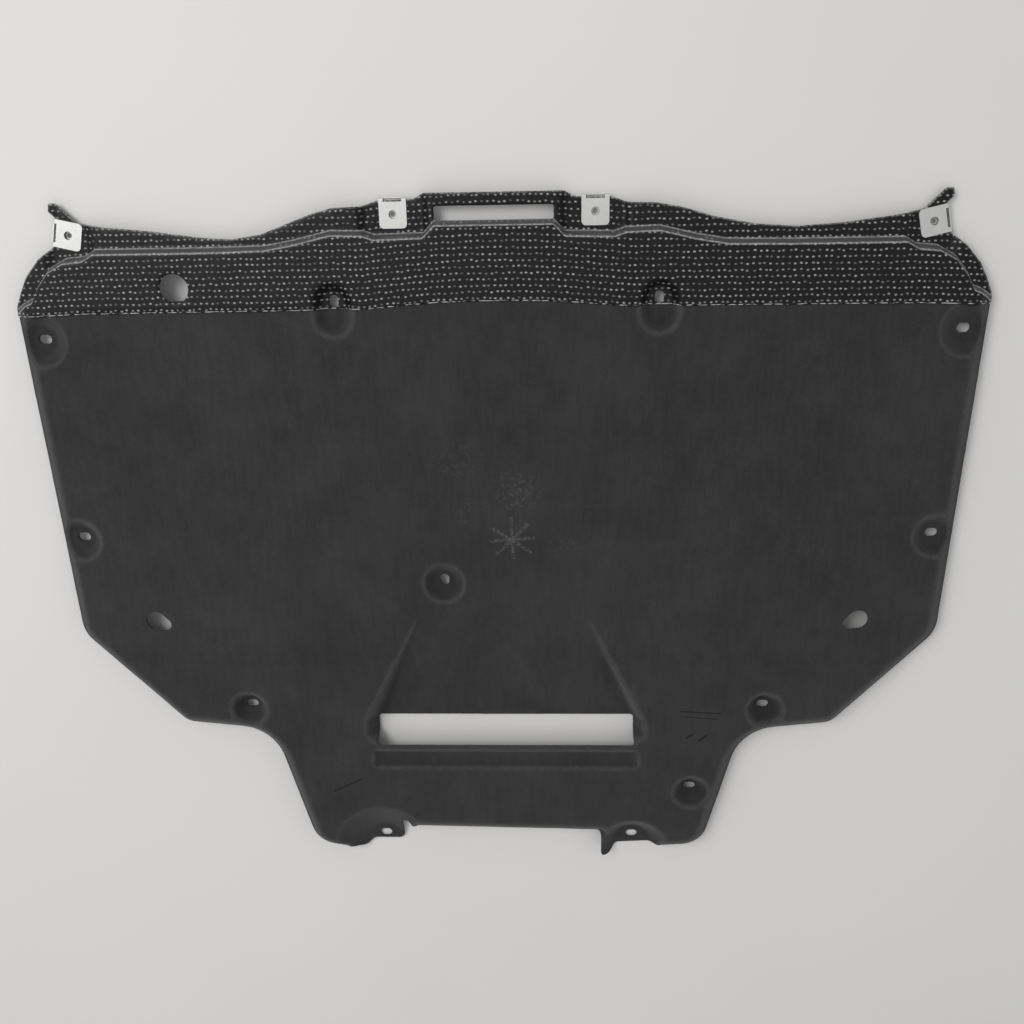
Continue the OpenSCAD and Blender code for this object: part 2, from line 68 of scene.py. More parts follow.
# Outline of the felt
SEAM_HALF = 504.0
WAIST = (491.0, -91.0, 36.0)
SHOULDER = (382.0, -208.0, 22.0)
HIP = (279.0, -219.0, 55.0)
TAIL = (238.0, -379.0, 32.0)
REAR_Y = -358.0
SEAM_Y = 279.0

# Flange
FLANGE_RUN = 14.0
FLANGE_DROP = 12.0
FLANGE_Z = FACE_Z - FLANGE_DROP

# Ramp, vent and groove
RAMP_Y = -59.0
RAMP_W0 = 182.0
RAMP_W1 = 330.0
VENT_W = 304.0
VENT_Y = -204.0
VENT_LEN = 30.0
CHEEK_Y = -220.0
RAMP_FLOOR = 4.0
GROOVE_Y = -241.0
GROOVE_LEN = 22.0
GROOVE_W = 314.0
GROOVE_DEPTH = 6.0

# Fixings: place, floor height, floor radius and mouth radius
SLOT = (13.5, 9.5)
TAB_HALF = 153.0
TAB_Y = -381.0
TAB_SLOT_AHEAD = 9.0
SIDE_POCKETS = [(480.64, 252.0, FLANGE_Z, 13.0, 28.0), (473.21, 28.0, FLANGE_Z, 13.0, 24.0),
                (302.0, -185.0, FLANGE_Z, 11.0, 21.0)]
CENTRE_POCKET = (-65.0, -26.0, FLANGE_Z, 12.0, 23.0)
SINGLE_POCKET = (221.0, -297.0, FLANGE_Z, 10.0, 21.0)
TAB_POCKETS = [(-TAB_HALF, TAB_Y, RAMP_FLOOR, 22.0, 60.0), (TAB_HALF, TAB_Y, RAMP_FLOOR, 22.0, 42.0)]
DRAIN = (395.0, -74.0)
DRAIN_R = (11.0, 7.5)
DRAIN_LEN = 10.0
DRAIN_TILT = 28.0

# Front lip
LIP_T = 2.5
LIP_FACE = 25.0
LIP_HALF = 505.0
FRONT_Y = cad_box[1][1] / MM
WALL_RUN = 4.0
JOINT_GAP = 0.2
TONGUE_LEN = 12.0
GRIP = (121.0, 14.0, 20.0)
ACCESS = (-331.0, 25.0, 30.0)
SEAM_POCKET = (168.5, 12.0, 20.0, 15.0)
SEAM_SLOT = (13.0, 9.5)
LEAD_D = 8.5
INNER_CLIP = (102.5, 20.566)
OUTER_CLIP = (440.0, 36.0)

# Marks on the felt: dark cuts and pale scuffs as lines with a width, and stains as patches with a grey
SCRATCHES = [((-209, -297), (-174, -280), 1.6), ((205, -187), (252, -190), 1.1), ((210, -194), (248, -197), 1.0),
             ((213, -222), (220, -218), 2.0), ((228, -226), (236, -219), 2.0)]
SCUFFS = [((-9, 40), (33, 12), 3.0), ((-4, 10), (30, 44), 3.0), ((12, 52), (14, 2), 2.6), ((-10, 25), (36, 28), 2.4)]
STAINS = [(19, 83, 30, 28, 72), (-44, 118, 34, 26, 58), (70, 18, 26, 16, 60), (-36, 58, 30, 20, 58)]

# Distance between raster points, and the rasters of the places across and along the car
GRID = 1.0
X, Y = np.meshgrid(np.arange(-512.0, 513.0, GRID), np.arange(-402.0, 403.0, GRID))


def from_side(table):
    """Places across the car given as distances in from the side edge of the felt."""
    return [(SEAM_HALF - place, value) for place, value in table]


SEAM_LINE = [(0, 8), (24, 8), (60, 7), (100, 4), (136, 1)] + from_side([(74, 0), (-8, -3)])
RIDGE_LINE = [(0, -31), (60, -31), (72, -43), (122, -44), (134, -40), (166, -39), (205, -48), (235, -53),
              (300, -54)] + from_side([(93, -54), (80, -61), (59, -63), (42, -72), (28, -89), (17, -111),
                                       (-8, -118)])
EDGE_MIDDLE = [(0, 0), (71, 0), (81, -6), (119, -7), (134, -12), (164, -13)]
EDGE_LEFT = [(190, -20), (225, -33), (240, -38), (270, -42), (300, -40), (350, -33), (400, -28)]
EDGE_RIGHT = [(190, -18), (220, -27), (262, -35), (305, -38), (350, -35), (400, -29)]
EDGE_END = from_side([(80, -25), (72, -22), (53.5, -18), (47.5, -45), (44, -49), (30, -59), (14, -77), (6, -92),
                      (-1, -108), (-8, -110)])
HORN = from_side([(74, -23), (55, -4), (47.5, -4), (46, -12), (53, -19)])
DROP_LINE = [(0, 10), (66, 10), (72, 16.9), (132, 16.9), (138, 10)] + from_side(
    [(92, 10), (84, 16.9), (46, 16.9), (36, FLANGE_DROP), (-8, FLANGE_DROP)])


def lookup(places, table):
    return np.interp(places, [row[0] for row in table], [row[1] for row in table])


def seam_at(x):
    return SEAM_Y + lookup(np.abs(x), SEAM_LINE)


def edge_at(x):
    left = lookup(np.abs(x), EDGE_MIDDLE + EDGE_LEFT + EDGE_END)
    right = lookup(np.abs(x), EDGE_MIDDLE + EDGE_RIGHT + EDGE_END)
    return FRONT_Y + np.where(np.asarray(x) < 0, left, right)


def ease(value):
    """0 below 0, 1 above 1, and a smooth rise between."""
    share = np.clip(value, 0, 1)
    return share * share * (3 - 2 * share)


def blur(raster, size):
    """A raster with every detail smaller than size smoothed away."""
    rows = np.fft.fftfreq(raster.shape[0], GRID)[:, None]
    columns = np.fft.fftfreq(raster.shape[1], GRID)[None, :]
    keep = np.exp(-2 * (math.pi * size) ** 2 * (rows ** 2 + columns ** 2))
    return np.real(np.fft.ifft2(np.fft.fft2(raster) * keep))


def cloud(size, seed):
    """Seeded smooth noise with blotches of one size and a spread of 1."""
    noise = blur(np.random.default_rng(seed).standard_normal(X.shape), size)
    return noise / noise.std()


def sample(raster, points):
    """Values of a raster at places between its points."""
    column = np.clip((points[:, 0] - X[0, 0]) / GRID, 0, X.shape[1] - 1.001)
    row = np.clip((points[:, 1] - Y[0, 0]) / GRID, 0, X.shape[0] - 1.001)
    c, r = column.astype(int), row.astype(int)
    u, v = column - c, row - r
    low = raster[r, c] * (1 - u) + raster[r, c + 1] * u
    high = raster[r + 1, c] * (1 - u) + raster[r + 1, c + 1] * u
    return low * (1 - v) + high * v


def distance_to(path, x, y):
    """Distance of places from an open path."""
    nearest = np.full(np.shape(x), 1e9)
    for a, b in zip(path, path[1:]):
        run = np.subtract(b, a)
        share = np.clip(((x - a[0]) * run[0] + (y - a[1]) * run[1]) / max(run @ run, 1e-9), 0, 1)
        nearest = np.minimum(nearest, (x - a[0] - share * run[0]) ** 2 + (y - a[1] - share * run[1]) ** 2)
    return np.sqrt(nearest)


def inside(loop, points):
    """Which points lie inside a closed loop."""
    x, y = points[:, 0], points[:, 1]
    odd = np.zeros(len(points), bool)
    for a, b in zip(loop, np.roll(loop, -1, axis=0)):
        if a[1] != b[1]:
            crosses = (a[1] > y) != (b[1] > y)
            odd ^= crosses & (x < a[0] + (b[0] - a[0]) * (y - a[1]) / (b[1] - a[1]))
    return odd


def rounded(corners, step=6.0):
    """A path whose corners (x, y, radius) are arcs with a point every few degrees."""
    path = []
    for i, (x, y, radius) in enumerate(corners):
        at = np.array((x, y), float)
        if radius == 0:
            path.append(at)
            continue
        before = np.array(corners[i - 1][:2]) - at
        after = np.array(corners[(i + 1) % len(corners)][:2]) - at
        u, w = before / np.linalg.norm(before), after / np.linalg.norm(after)
        half = math.acos(np.clip(u @ w, -1, 1)) / 2
        middle = at + (u + w) / np.linalg.norm(u + w) * radius / math.sin(half)
        start, end = at + u * radius / math.tan(half), at + w * radius / math.tan(half)
        first = math.atan2(*(start - middle)[::-1])
        sweep = (math.atan2(*(end - middle)[::-1]) - first + math.pi) % (2 * math.pi) - math.pi
        count = max(2, math.ceil(abs(math.degrees(sweep)) / step))
        for turn in first + sweep * np.arange(count + 1) / count:
            path.append(middle + radius * np.array((math.cos(turn), math.sin(turn))))
    return np.array(path)


def resampled(path, spacing, closed=True):
    """A path with its points spread evenly."""
    path = np.asarray(path, float)
    if closed:
        path = np.vstack([path, path[:1]])
    lengths = np.concatenate([[0], np.cumsum(np.linalg.norm(np.diff(path, axis=0), axis=1))])
    count = max(8, round(lengths[-1] / spacing))
    places = np.linspace(0, lengths[-1], count, endpoint=not closed)
    return np.stack([np.interp(places, lengths, path[:, k]) for k in (0, 1)], 1)


def turned(points, degrees):
    angle = math.radians(degrees)
    return points @ np.array([[math.cos(angle), math.sin(angle)], [-math.sin(angle), math.cos(angle)]])


def circle(x, y, radius, spacing=1.2):
    return resampled(rounded([(x - radius, y - radius, radius - 0.001), (x + radius, y - radius, radius - 0.001),
                              (x + radius, y + radius, radius - 0.001),
                              (x - radius, y + radius, radius - 0.001)]), spacing)


def box_loop(x, y, width, length, radius, turn=0, spacing=1.2):
    """A rectangle with round corners, turned about its middle."""
    corners = [(sx * width / 2, sy * length / 2, radius) for sx, sy in ((-1, -1), (1, -1), (1, 1), (-1, 1))]
    return resampled(turned(rounded(corners), turn) + (x, y), spacing)


def drain_loop(side):
    """A drain hole, wide at its outer end."""
    lean = math.asin((DRAIN_R[0] - DRAIN_R[1]) / DRAIN_LEN)
    turns = np.radians(np.arange(0, 360, 8))
    wide = np.cos(turns) > -math.sin(lean)
    radius = np.where(wide, *DRAIN_R)
    along = np.where(wide, DRAIN_LEN / 2, -DRAIN_LEN / 2) + radius * np.cos(turns)
    points = np.stack([side * along, radius * np.sin(turns)], 1)
    return resampled(turned(points, side * DRAIN_TILT) + (side * DRAIN[0], DRAIN[1]), 1.2)


def mirrored(corners):
    return [(-x, *rest) for x, *rest in corners]


SIDE = [(SEAM_HALF, float(seam_at(SEAM_HALF)), 0), WAIST, SHOULDER, HIP, TAIL]
TAB_RIGHT_EDGE = [(TAB_HALF - 19, TAB_Y - 4, 6), (TAB_HALF - 27, TAB_Y - 13, 5), (TAB_HALF - 38, TAB_Y - 13, 7),
                  (TAB_HALF - 38, REAR_Y - 2, 6)]
TAB_LEFT_EDGE = [(35 - TAB_HALF, REAR_Y + 3, 4), (31 - TAB_HALF, REAR_Y + 12, 3), (23 - TAB_HALF, REAR_Y + 12, 3),
                 (23 - TAB_HALF, TAB_Y + 1, 7), (-15 - TAB_HALF, TAB_Y + 1, 8), (-24 - TAB_HALF, TAB_Y - 8, 8)]


def cone(distance, pocket_floor, floor_r, mouth_r, mouth_z):
    """Height of a pocket's floor and sloping side at a distance from its middle."""
    return pocket_floor + np.maximum(distance - floor_r, 0) * (mouth_z - pocket_floor) / (mouth_r - floor_r)


def seam_pocket_cone():
    x, floor_r, mouth_r, length = SEAM_POCKET
    y = float(seam_at(x))
    away = distance_to([(x, y - length / 2), (x, y + length / 2)], np.abs(X), Y)
    return cone(away, FACE_Z - 12, floor_r, mouth_r, FACE_Z)


def round_pockets():
    pockets = [CENTRE_POCKET, SINGLE_POCKET, *TAB_POCKETS]
    for pocket in SIDE_POCKETS:
        pockets += [pocket, (-pocket[0], *pocket[1:])]
    return pockets


def ramp_height():
    """Height of the ramp that falls to the vent, with its sloping cheeks."""
    share = np.clip((RAMP_Y - Y) / (RAMP_Y - VENT_Y), 0, 1)
    floor = FACE_Z + (RAMP_FLOOR - FACE_Z) * share
    floor_half = RAMP_W0 / 2 + (VENT_W - RAMP_W0) / 2 * share
    cheek_run = np.maximum((RAMP_W1 - VENT_W) / 2 * share, 0.5)
    rim = FACE_Z + REAR_RISE + 1
    height = floor + np.maximum(np.abs(X) - floor_half, 0) * (rim - floor) / cheek_run
    end = ease((CHEEK_Y - Y) / 8)
    height = np.where(np.abs(X) > VENT_W / 2, height + end * FACE_Z, height)
    return np.where((Y > RAMP_Y) | (Y < VENT_Y - VENT_LEN / 2 - 8), rim, height)


def felt_face():
    """Raster of the height of the felt's road face."""
    face = FACE_Z + REAR_RISE * np.clip((CREASE_Y - Y) / CREASE_LEN, 0, 1)
    side = rounded(SIDE + [(TAB_HALF + 35, TAB_Y - 1, 0)])
    other = rounded(mirrored(SIDE) + [(-TAB_HALF - 47, TAB_Y - 5, 0)])
    rear = [(TAB_HALF - 40, REAR_Y - 2), (42 - TAB_HALF, REAR_Y + 3)]
    edge = np.minimum.reduce([distance_to(path, X, Y) for path in (side, other, rear)])
    share = np.clip(1 - edge / FLANGE_RUN, 0, 1)
    fall = np.where(share < 0.3, 0.4 * share, 0.12 + (share - 0.3) / 0.7 * 0.88)
    top = face - (face - FLANGE_Z) * fall
    for x, y, floor, floor_r, mouth_r in round_pockets():
        mouth_z = FACE_Z if y > CREASE_Y else FACE_Z + REAR_RISE
        top = np.minimum(top, cone(np.hypot(X - x, Y - y), floor, floor_r, mouth_r, mouth_z))
    top = np.minimum(top, seam_pocket_cone())
    top = np.minimum(top, ramp_height())
    groove_floor = FACE_Z + REAR_RISE - GROOVE_DEPTH
    middle = GROOVE_Y - GROOVE_LEN / 2
    out = np.maximum(np.abs(X) - GROOVE_W / 2, np.abs(Y - middle) - GROOVE_LEN / 2)
    top = np.minimum(top, groove_floor + GROOVE_DEPTH + 2 * np.clip(out, -GROOVE_DEPTH / 2, 99))
    return blur(top, 1.5)


def lip_lines(x):
    """Places of the rear edge, the ridge and the foot of the wall of the lip."""
    rear, front = seam_at(x) + JOINT_GAP, edge_at(x)
    ridge = FRONT_Y + lookup(np.abs(x), RIDGE_LINE)
    ridge = np.clip(ridge, rear + 0.3 * (front - rear), front - 6)
    return rear, ridge, np.minimum(ridge + WALL_RUN, ridge + 0.6 * (front - ridge))


def lip_surface():
    """Raster of the height of the lip's road face."""
    rear, ridge, foot = lip_lines(X)
    face = LIP_FACE - FLANGE_DROP * np.clip((np.abs(X) - SEAM_HALF + FLANGE_RUN) / FLANGE_RUN, 0, 1)
    strip = LIP_FACE - lookup(np.abs(X), DROP_LINE)
    top = face + (strip - face) * np.clip((Y - ridge) / (foot - ridge), 0, 1)
    return blur(np.minimum(top, seam_pocket_cone()), 1.1)


def backed(top, thickness):
    """Raster of the back of a sheet of one thickness, measured square to its road face."""
    back = np.full(top.shape, 1e9)
    reach = int(thickness / GRID)
    for i in range(-reach, reach + 1):
        for j in range(-reach, reach + 1):
            rest = thickness ** 2 - (i * i + j * j) * GRID ** 2
            if rest >= 0:
                back = np.minimum(back, np.roll(top, (i, j), (0, 1)) - math.sqrt(rest))
    return back


def area(loop):
    x, y = np.transpose(loop)
    return (x @ np.roll(y, -1) - y @ np.roll(x, -1)) / 2


def inward(loop):
    """The normals of a loop that point into the material on its left."""
    run = np.roll(loop, -1, axis=0) - np.roll(loop, 1, axis=0)
    run /= np.linalg.norm(run, axis=1)[:, None]
    return np.stack([-run[:, 1], run[:, 0]], 1)


def honeycomb(spacing):
    rows = np.arange(Y[0, 0], Y[-1, 0], spacing * math.sqrt(3) / 2)
    columns = np.arange(X[0, 0], X[0, -1], spacing)
    return np.concatenate([np.stack([columns + spacing / 2 * (i % 2), np.full(len(columns), y)], 1)
                           for i, y in enumerate(rows)])


def solid(name, spots, faces):
    """An object of a closed mesh with its faces turned outward."""
    mesh = bpy.data.meshes.new(name)
    mesh.from_pydata((np.array(spots) * MM).tolist(), [], faces)
    shape = bmesh.new()
    shape.from_mesh(mesh)
    bmesh.ops.recalc_face_normals(shape, faces=shape.faces)
    shape.to_mesh(mesh)
    shape.free()
    piece = bpy.data.objects.new(name, mesh)
    bpy.context.scene.collection.objects.link(piece)
    return piece


def pressed_sheet(name, outer, holes, top, back, edge_round, levels, fields):
    """A closed mesh of a pressed sheet with rounded edges, and denser points where its face bends.

    levels lists (spacing, least bend) from fine to coarse, and fields holds rasters kept as attributes.
    """
    loops = [outer if area(outer) > 0 else outer[::-1]]
    loops += [hole if area(hole) < 0 else hole[::-1] for hole in holes]
    bend = sum(np.abs(np.roll(top, 1, k) + np.roll(top, -1, k) - 2 * top) for k in (0, 1)) / GRID ** 2
    bend = blur(bend, 2.0)
    chosen = []
    above = np.inf
    for spacing, least in levels:
        points = honeycomb(spacing)
        amount = sample(bend, points)
        points = points[(amount >= least) & (amount < above)]
        above = least
        keep = inside(loops[0], points)
        for hole in loops[1:]:
            keep &= ~inside(hole, points)
        points = points[keep]
        for loop in loops:
            closed = np.vstack([loop, loop[:1]])
            points = points[distance_to(closed, points[:, 0], points[:, 1]) > edge_round + 0.5 * spacing]
        chosen.append(points)
    rims = [loop + inward(loop) * edge_round for loop in loops]
    flat = np.concatenate(rims + chosen)
    edges = []
    start = 0
    for rim in rims:
        count = len(rim)
        edges += [(start + i, start + (i + 1) % count) for i in range(count)]
        start += count
    out = geometry.delaunay_2d_cdt([Vector(p) for p in flat], edges, [], 0, 1e-6, False)
    if len(out[0]) != len(flat):
        raise ValueError(f"{name}: the outline crosses itself")
    triangles = np.array(out[2])
    middles = flat[triangles].mean(1)
    keep = inside(rims[0], middles)
    for rim in rims[1:]:
        keep &= ~inside(rim, middles)
    triangles = triangles[keep]

    high, low = sample(top, flat), sample(back, flat)
    count = len(flat)
    spots = [np.column_stack([flat, high]), np.column_stack([flat, low])]
    faces = np.concatenate([triangles, triangles[:, ::-1] + count]).tolist()
    used = 2 * count
    start = 0
    for loop, rim in zip(loops, rims):
        size = len(loop)
        own = np.arange(size)
        belt = [start + own]
        middle = (high[start:start + size] + low[start:start + size]) / 2
        half = (high[start:start + size] - low[start:start + size]) / 2
        for turn in (50, 0, -50):
            at = loop + inward(loop) * edge_round * (1 - math.cos(math.radians(turn)))
            spots.append(np.column_stack([at, middle + half * math.sin(math.radians(turn))]))
            belt.append(used + own)
            used += size
        belt.append(start + own + count)
        for a, b in zip(belt, belt[1:]):
            faces += np.stack([a, b, np.roll(b, -1), np.roll(a, -1)], 1).tolist()
        start += size
    spots = np.concatenate(spots)
    piece = solid(name, spots, faces)
    mesh = piece.data
    for label, raster in fields.items():
        data = mesh.attributes.new(label, "FLOAT", "POINT").data
        data.foreach_set("value", sample(raster, spots[:, :2]).astype(np.float32))
    mesh.polygons.foreach_set("use_smooth", [True] * len(mesh.polygons))
    return piece


def frayed(loop, amount, seed):
    """A loop whose points wander a little, as a cut edge does."""
    noise = np.random.default_rng(seed).standard_normal(len(loop))
    noise = (noise + np.roll(noise, 1) + np.roll(noise, 2)) / 3
    return loop + inward(loop) * np.abs(noise[:, None]) * amount


class Signal:
    """The output of a shader node, which takes part in sums as a number does."""

    def __init__(self, kit, socket):
        self.kit = kit
        self.socket = socket

    def __add__(self, other):
        return self.kit.math("ADD", self, other)

    def __sub__(self, other):
        return self.kit.math("SUBTRACT", self, other)

    def __rsub__(self, other):
        return self.kit.math("SUBTRACT", other, self)

    def __mul__(self, other):
        return self.kit.math("MULTIPLY", self, other)

    __radd__ = __add__
    __rmul__ = __mul__


class Material:
    """A procedural material under construction, in millimetres of the row frame."""

    def __init__(self, name):
        self.made = bpy.data.materials.new(name)
        self.made.use_nodes = True
        self.tree = self.made.node_tree
        self.shader = self.tree.nodes["Principled BSDF"]
        self.place = self.node("ShaderNodeVectorMath", {0: self.tree.nodes.new("ShaderNodeTexCoord").outputs["Object"],
                                                        "Scale": 1 / MM}, operation="SCALE")
        split = self.node("ShaderNodeSeparateXYZ", {0: self.place})
        self.x, self.y, self.z = [Signal(self, split.socket.node.outputs[k]) for k in range(3)]

    def node(self, kind, inputs=None, output=0, **settings):
        node = self.tree.nodes.new(kind)
        for key, value in settings.items():
            setattr(node, key, value)
        for key, value in (inputs or {}).items():
            if isinstance(value, Signal):
                self.tree.links.new(value.socket, node.inputs[key])
            elif isinstance(value, bpy.types.NodeSocket):
                self.tree.links.new(value, node.inputs[key])
            else:
                node.inputs[key].default_value = value
        return Signal(self, node.outputs[output])

    def math(self, operation, a, b=0.0):
        return self.node("ShaderNodeMath", {0: a, 1: b}, operation=operation)

    def one(self, operation, a):
        return self.node("ShaderNodeMath", {0: a}, operation=operation)

    def attribute(self, name):
        return self.node("ShaderNodeAttribute", output="Fac", attribute_name=name)

    def stretched(self, x=1.0, y=1.0, z=1.0):
        return self.node("ShaderNodeVectorMath", {0: self.place, 1: (x, y, z)}, operation="MULTIPLY")

    def noise(self, size, detail=2.0, roughness=0.5, at=None):
        """Noise from 0 to 1 with blotches about size across."""
        return self.node("ShaderNodeTexNoise", {"Vector": at or self.place, "Scale": 1 / size, "Detail": detail,
                                                "Roughness": roughness})

    def step(self, value, low, high):
        """0 at low, 1 at high, and smooth between."""
        return self.node("ShaderNodeMapRange", {"Value": value, "From Min": low, "From Max": high},
                         interpolation_type="SMOOTHSTEP")

    def near(self, value, place, width):
        """1 where a value is at a place, and 0 once it is width away."""
        return self.step(self.one("ABSOLUTE", value - place), width, 0.0)

    def scratch(self, start, end, width):
        """1 along a short line on the road face, and 0 beside it."""
        run_x, run_y = end[0] - start[0], end[1] - start[1]
        along = ((self.x - start[0]) * run_x + (self.y - start[1]) * run_y) * (1 / (run_x ** 2 + run_y ** 2))
        along = self.math("MINIMUM", self.math("MAXIMUM", along, 0.0), 1.0)
        off_x, off_y = self.x - start[0] - along * run_x, self.y - start[1] - along * run_y
        return self.step(self.one("SQRT", off_x * off_x + off_y * off_y), width, width * 0.3)

    def mix(self, share, a, b):
        node = self.tree.nodes.new("ShaderNodeMix")
        node.data_type = "RGBA"
        sockets = (node.inputs["Factor"], *[s for s in node.inputs if s.type == "RGBA"])
        for socket, value in zip(sockets, (share, a, b)):
            if isinstance(value, Signal):
                self.tree.links.new(value.socket, socket)
            else:
                socket.default_value = value
        return Signal(self, [s for s in node.outputs if s.type == "RGBA"][0])

    def bump(self, height, distance, strength=1.0):
        made = self.node("ShaderNodeBump", {"Height": height, "Distance": distance * MM, "Strength": strength})
        self.tree.links.new(made.socket, self.shader.inputs["Normal"])

    def set(self, **values):
        for key, value in values.items():
            socket = self.shader.inputs[key.replace("_", " ")]
            if isinstance(value, Signal):
                self.tree.links.new(value.socket, socket)
            else:
                socket.default_value = value


def grey(level, tint=(0, 0, 0)):
    """A colour from a grey of 0 to 255 as seen on a screen, with a small tint."""
    return tuple(((level + t) / 255 / 12.92 if level + t < 10.3 else (((level + t) / 255 + 0.055) / 1.055) ** 2.4)
                 for t in tint) + (1.0,)


def felt_material():
    m = Material("black_felt")
    fibre = m.noise(0.9, 3.0, 0.65)
    blotch = m.noise(70.0, 3.0, 0.6)
    streak = m.noise(6.0, 2.0, 0.5, m.stretched(1.0, 0.18, 1.0))
    tone = m.step(fibre * 0.5 + blotch * 0.32 + streak * 0.18, 0.3, 0.72)
    base = m.mix(tone, grey(34, (0, 0, 1)), grey(56, (0, 0, 1)))
    # Convex bends painted paler: partly wear of the felt, partly a painted sheen highlight.
    wear_and_sheen = m.attribute("convex") * (0.35 + m.noise(5.0, 2.0) * 0.9)
    base = m.mix(m.step(wear_and_sheen, 0.1, 1.3), base, grey(66, (0, 0, 1)))
    for start, end, width in SCRATCHES:
        base = m.mix(m.scratch(start, end, width), base, grey(20))
    for start, end, width in SCUFFS:
        broken = m.step(m.noise(2.5, 3.0, 0.7), 0.4, 0.6)
        base = m.mix(m.scratch(start, end, width) * broken * 0.75, base, grey(84))
    speckle = m.step(m.noise(5.0, 3.0, 0.7), 0.5, 0.68)
    for x, y, half_x, half_y, level in STAINS:
        across, along = (m.x - x) * (1 / half_x), (m.y - y) * (1 / half_y)
        patch = m.step(across * across + along * along, 1.0, 0.35)
        base = m.mix(patch * speckle * 0.7, base, grey(level))
    m.set(Base_Color=base, Roughness=0.93, Sheen_Weight=0.12, Sheen_Roughness=0.55)
    m.shader.inputs["Specular IOR Level"].default_value = 0.22
    m.bump(fibre * 0.7 + m.noise(3.0, 2.0) * 0.6, 0.35, 0.9)
    return m.made


def film_material():
    m = Material("black_film")
    pitch_x, pitch_y = 5.9, 6.3
    row_place = m.attribute("seam") * (1 / pitch_y)
    row = m.one("FLOOR", row_place)
    wander = m.node("ShaderNodeTexWhiteNoise", {"W": row}, noise_dimensions="1D")
    column_place = m.x * (1 / pitch_x) + wander * 0.5
    column = m.one("FLOOR", column_place)
    cell = m.node("ShaderNodeCombineXYZ", {0: column, 1: row})
    luck = m.node("ShaderNodeTexWhiteNoise", {"Vector": cell}, output="Color", noise_dimensions="2D")
    parts = m.node("ShaderNodeSeparateColor", {0: luck})
    shift_x, shift_y, gain = [Signal(m, parts.socket.node.outputs[k]) for k in range(3)]
    across = (m.one("FRACT", column_place) - 0.5 + (shift_x - 0.5) * 0.3) * pitch_x
    along = (m.one("FRACT", row_place) - 0.5 + (shift_y - 0.5) * 0.22) * pitch_y
    ragged = m.noise(0.9, 2.0) - 0.5
    radius = m.one("SQRT", across * across * 0.62 + along * along * 1.35) + ragged * 0.7
    dot = m.step(radius, 1.45, 0.6) * (0.22 + gain * 0.78)
    tone = m.noise(26.0, 3.0)
    base = m.mix(tone, grey(11, (0, 0, 1)), grey(19, (0, 0, 1)))
    base = m.mix(dot, base, grey(158, (0, 0, -2)))
    ridge = m.attribute("ridge")
    foot = m.attribute("foot")
    scuff_and_glint = m.step(m.noise(2.2, 3.0, 0.7), 0.36, 0.62)
    # Pale lines at the ridge and the foot of the lip's wall: partly worn film, partly painted highlights.
    lines = m.math("MAXIMUM", m.near(ridge, -0.6, 1.3), m.near(foot, 0.2, 1.2))
    base = m.mix(lines * (0.35 + scuff_and_glint * 0.65), base, grey(168, (0, 0, -1)))
    # Paler band over the wall between them: partly worn film, partly painted light on the wall.
    wall = m.step(ridge, -0.5, 0.8) * m.step(foot, 0.8, -0.5)
    base = m.mix(wall * 0.6, base, grey(92))
    edge = m.attribute("edge")
    fray = m.step(edge, 2.2, 0.2) * m.step(m.noise(1.6, 3.0, 0.7), 0.42, 0.6)
    base = m.mix(fray, base, grey(150, (0, 0, -2)))
    seam = m.attribute("seam")
    dash = m.step(m.noise(3.2, 2.0, 0.6, m.stretched(0.55, 2.0, 1.0)), 0.46, 0.56)
    base = m.mix(m.step(seam, 1.5, 0.7) * dash, base, grey(185, (0, 0, -2)))
    m.set(Base_Color=base, Roughness=0.5)
    m.shader.inputs["Specular IOR Level"].default_value = 0.24
    m.bump(dot * 0.8 + m.noise(1.4, 2.0) * 0.5 + m.noise(9.0, 2.0) * 1.2, 0.3, 0.8)
    return m.made


def zinc_material():
    m = Material("zinc_steel")
    tone = m.noise(4.0, 3.0, 0.6)
    fine = m.noise(0.5, 2.0, 0.6)
    m.set(Base_Color=m.mix(tone, grey(196, (0, 0, -2)), grey(216, (0, 0, -3))),
          Roughness=0.42 + fine * 0.16, Metallic=0.75)
    m.bump(fine + tone, 0.04, 0.5)
    return m.made


def felt_panel():
    top = felt_face()
    top += 0.16 * cloud(28.0, 11) + 0.05 * cloud(9.0, 12)
    back = backed(top, FELT_T)
    outline = rounded(SIDE + TAB_RIGHT_EDGE + TAB_LEFT_EDGE + mirrored(SIDE)[::-1])
    across = np.linspace(-SEAM_HALF, SEAM_HALF, 260)[1:-1]
    seam = np.stack([across, seam_at(across)], 1)
    outer = frayed(resampled(np.concatenate([outline, seam]), 2.6), 0.16, 5)
    holes = [box_loop(0, VENT_Y - VENT_LEN / 2, VENT_W, VENT_LEN, 3, spacing=2.0)]
    for x, y, *_ in round_pockets():
        if y == TAB_Y:
            y += TAB_SLOT_AHEAD
        length = 13.0 if x == CENTRE_POCKET[0] else SLOT[0]
        turn = 90 if x == CENTRE_POCKET[0] else 0
        holes.append(box_loop(x, y, length, SLOT[1], SLOT[1] / 2 - 0.01, turn, 0.9))
    holes += [drain_loop(side) for side in (-1, 1)]
    closed = np.vstack([outline, outline[:1]])
    rim = distance_to(closed, X, Y)
    thin = EDGE_T / FELT_T + (1 - EDGE_T / FELT_T) * np.clip(rim / FLANGE_RUN, 0, 1)
    back = np.maximum(top - (top - back) * thin, 0)
    # convex marks the bends that stand out, which the felt material paints paler as wear and as a painted highlight.
    soft = blur(top, 3.0)
    convex = np.clip((top - soft) / 0.55, 0, 1)
    fields = {"convex": convex}
    levels = [(2.3, 0.03), (4.2, 0.008), (8.0, 0.0)]
    piece = pressed_sheet("felt_shell", outer, [frayed(hole, 0.1, 9) for hole in holes], top, back, 0.9,
                          levels, fields)
    felt = felt_material()
    piece.data.materials.append(felt)
    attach(piece, "root")
    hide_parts("felt_panel")
    felt_tongue(felt)


# Points of the lip's outline along the seam
REAR_POINTS = 340


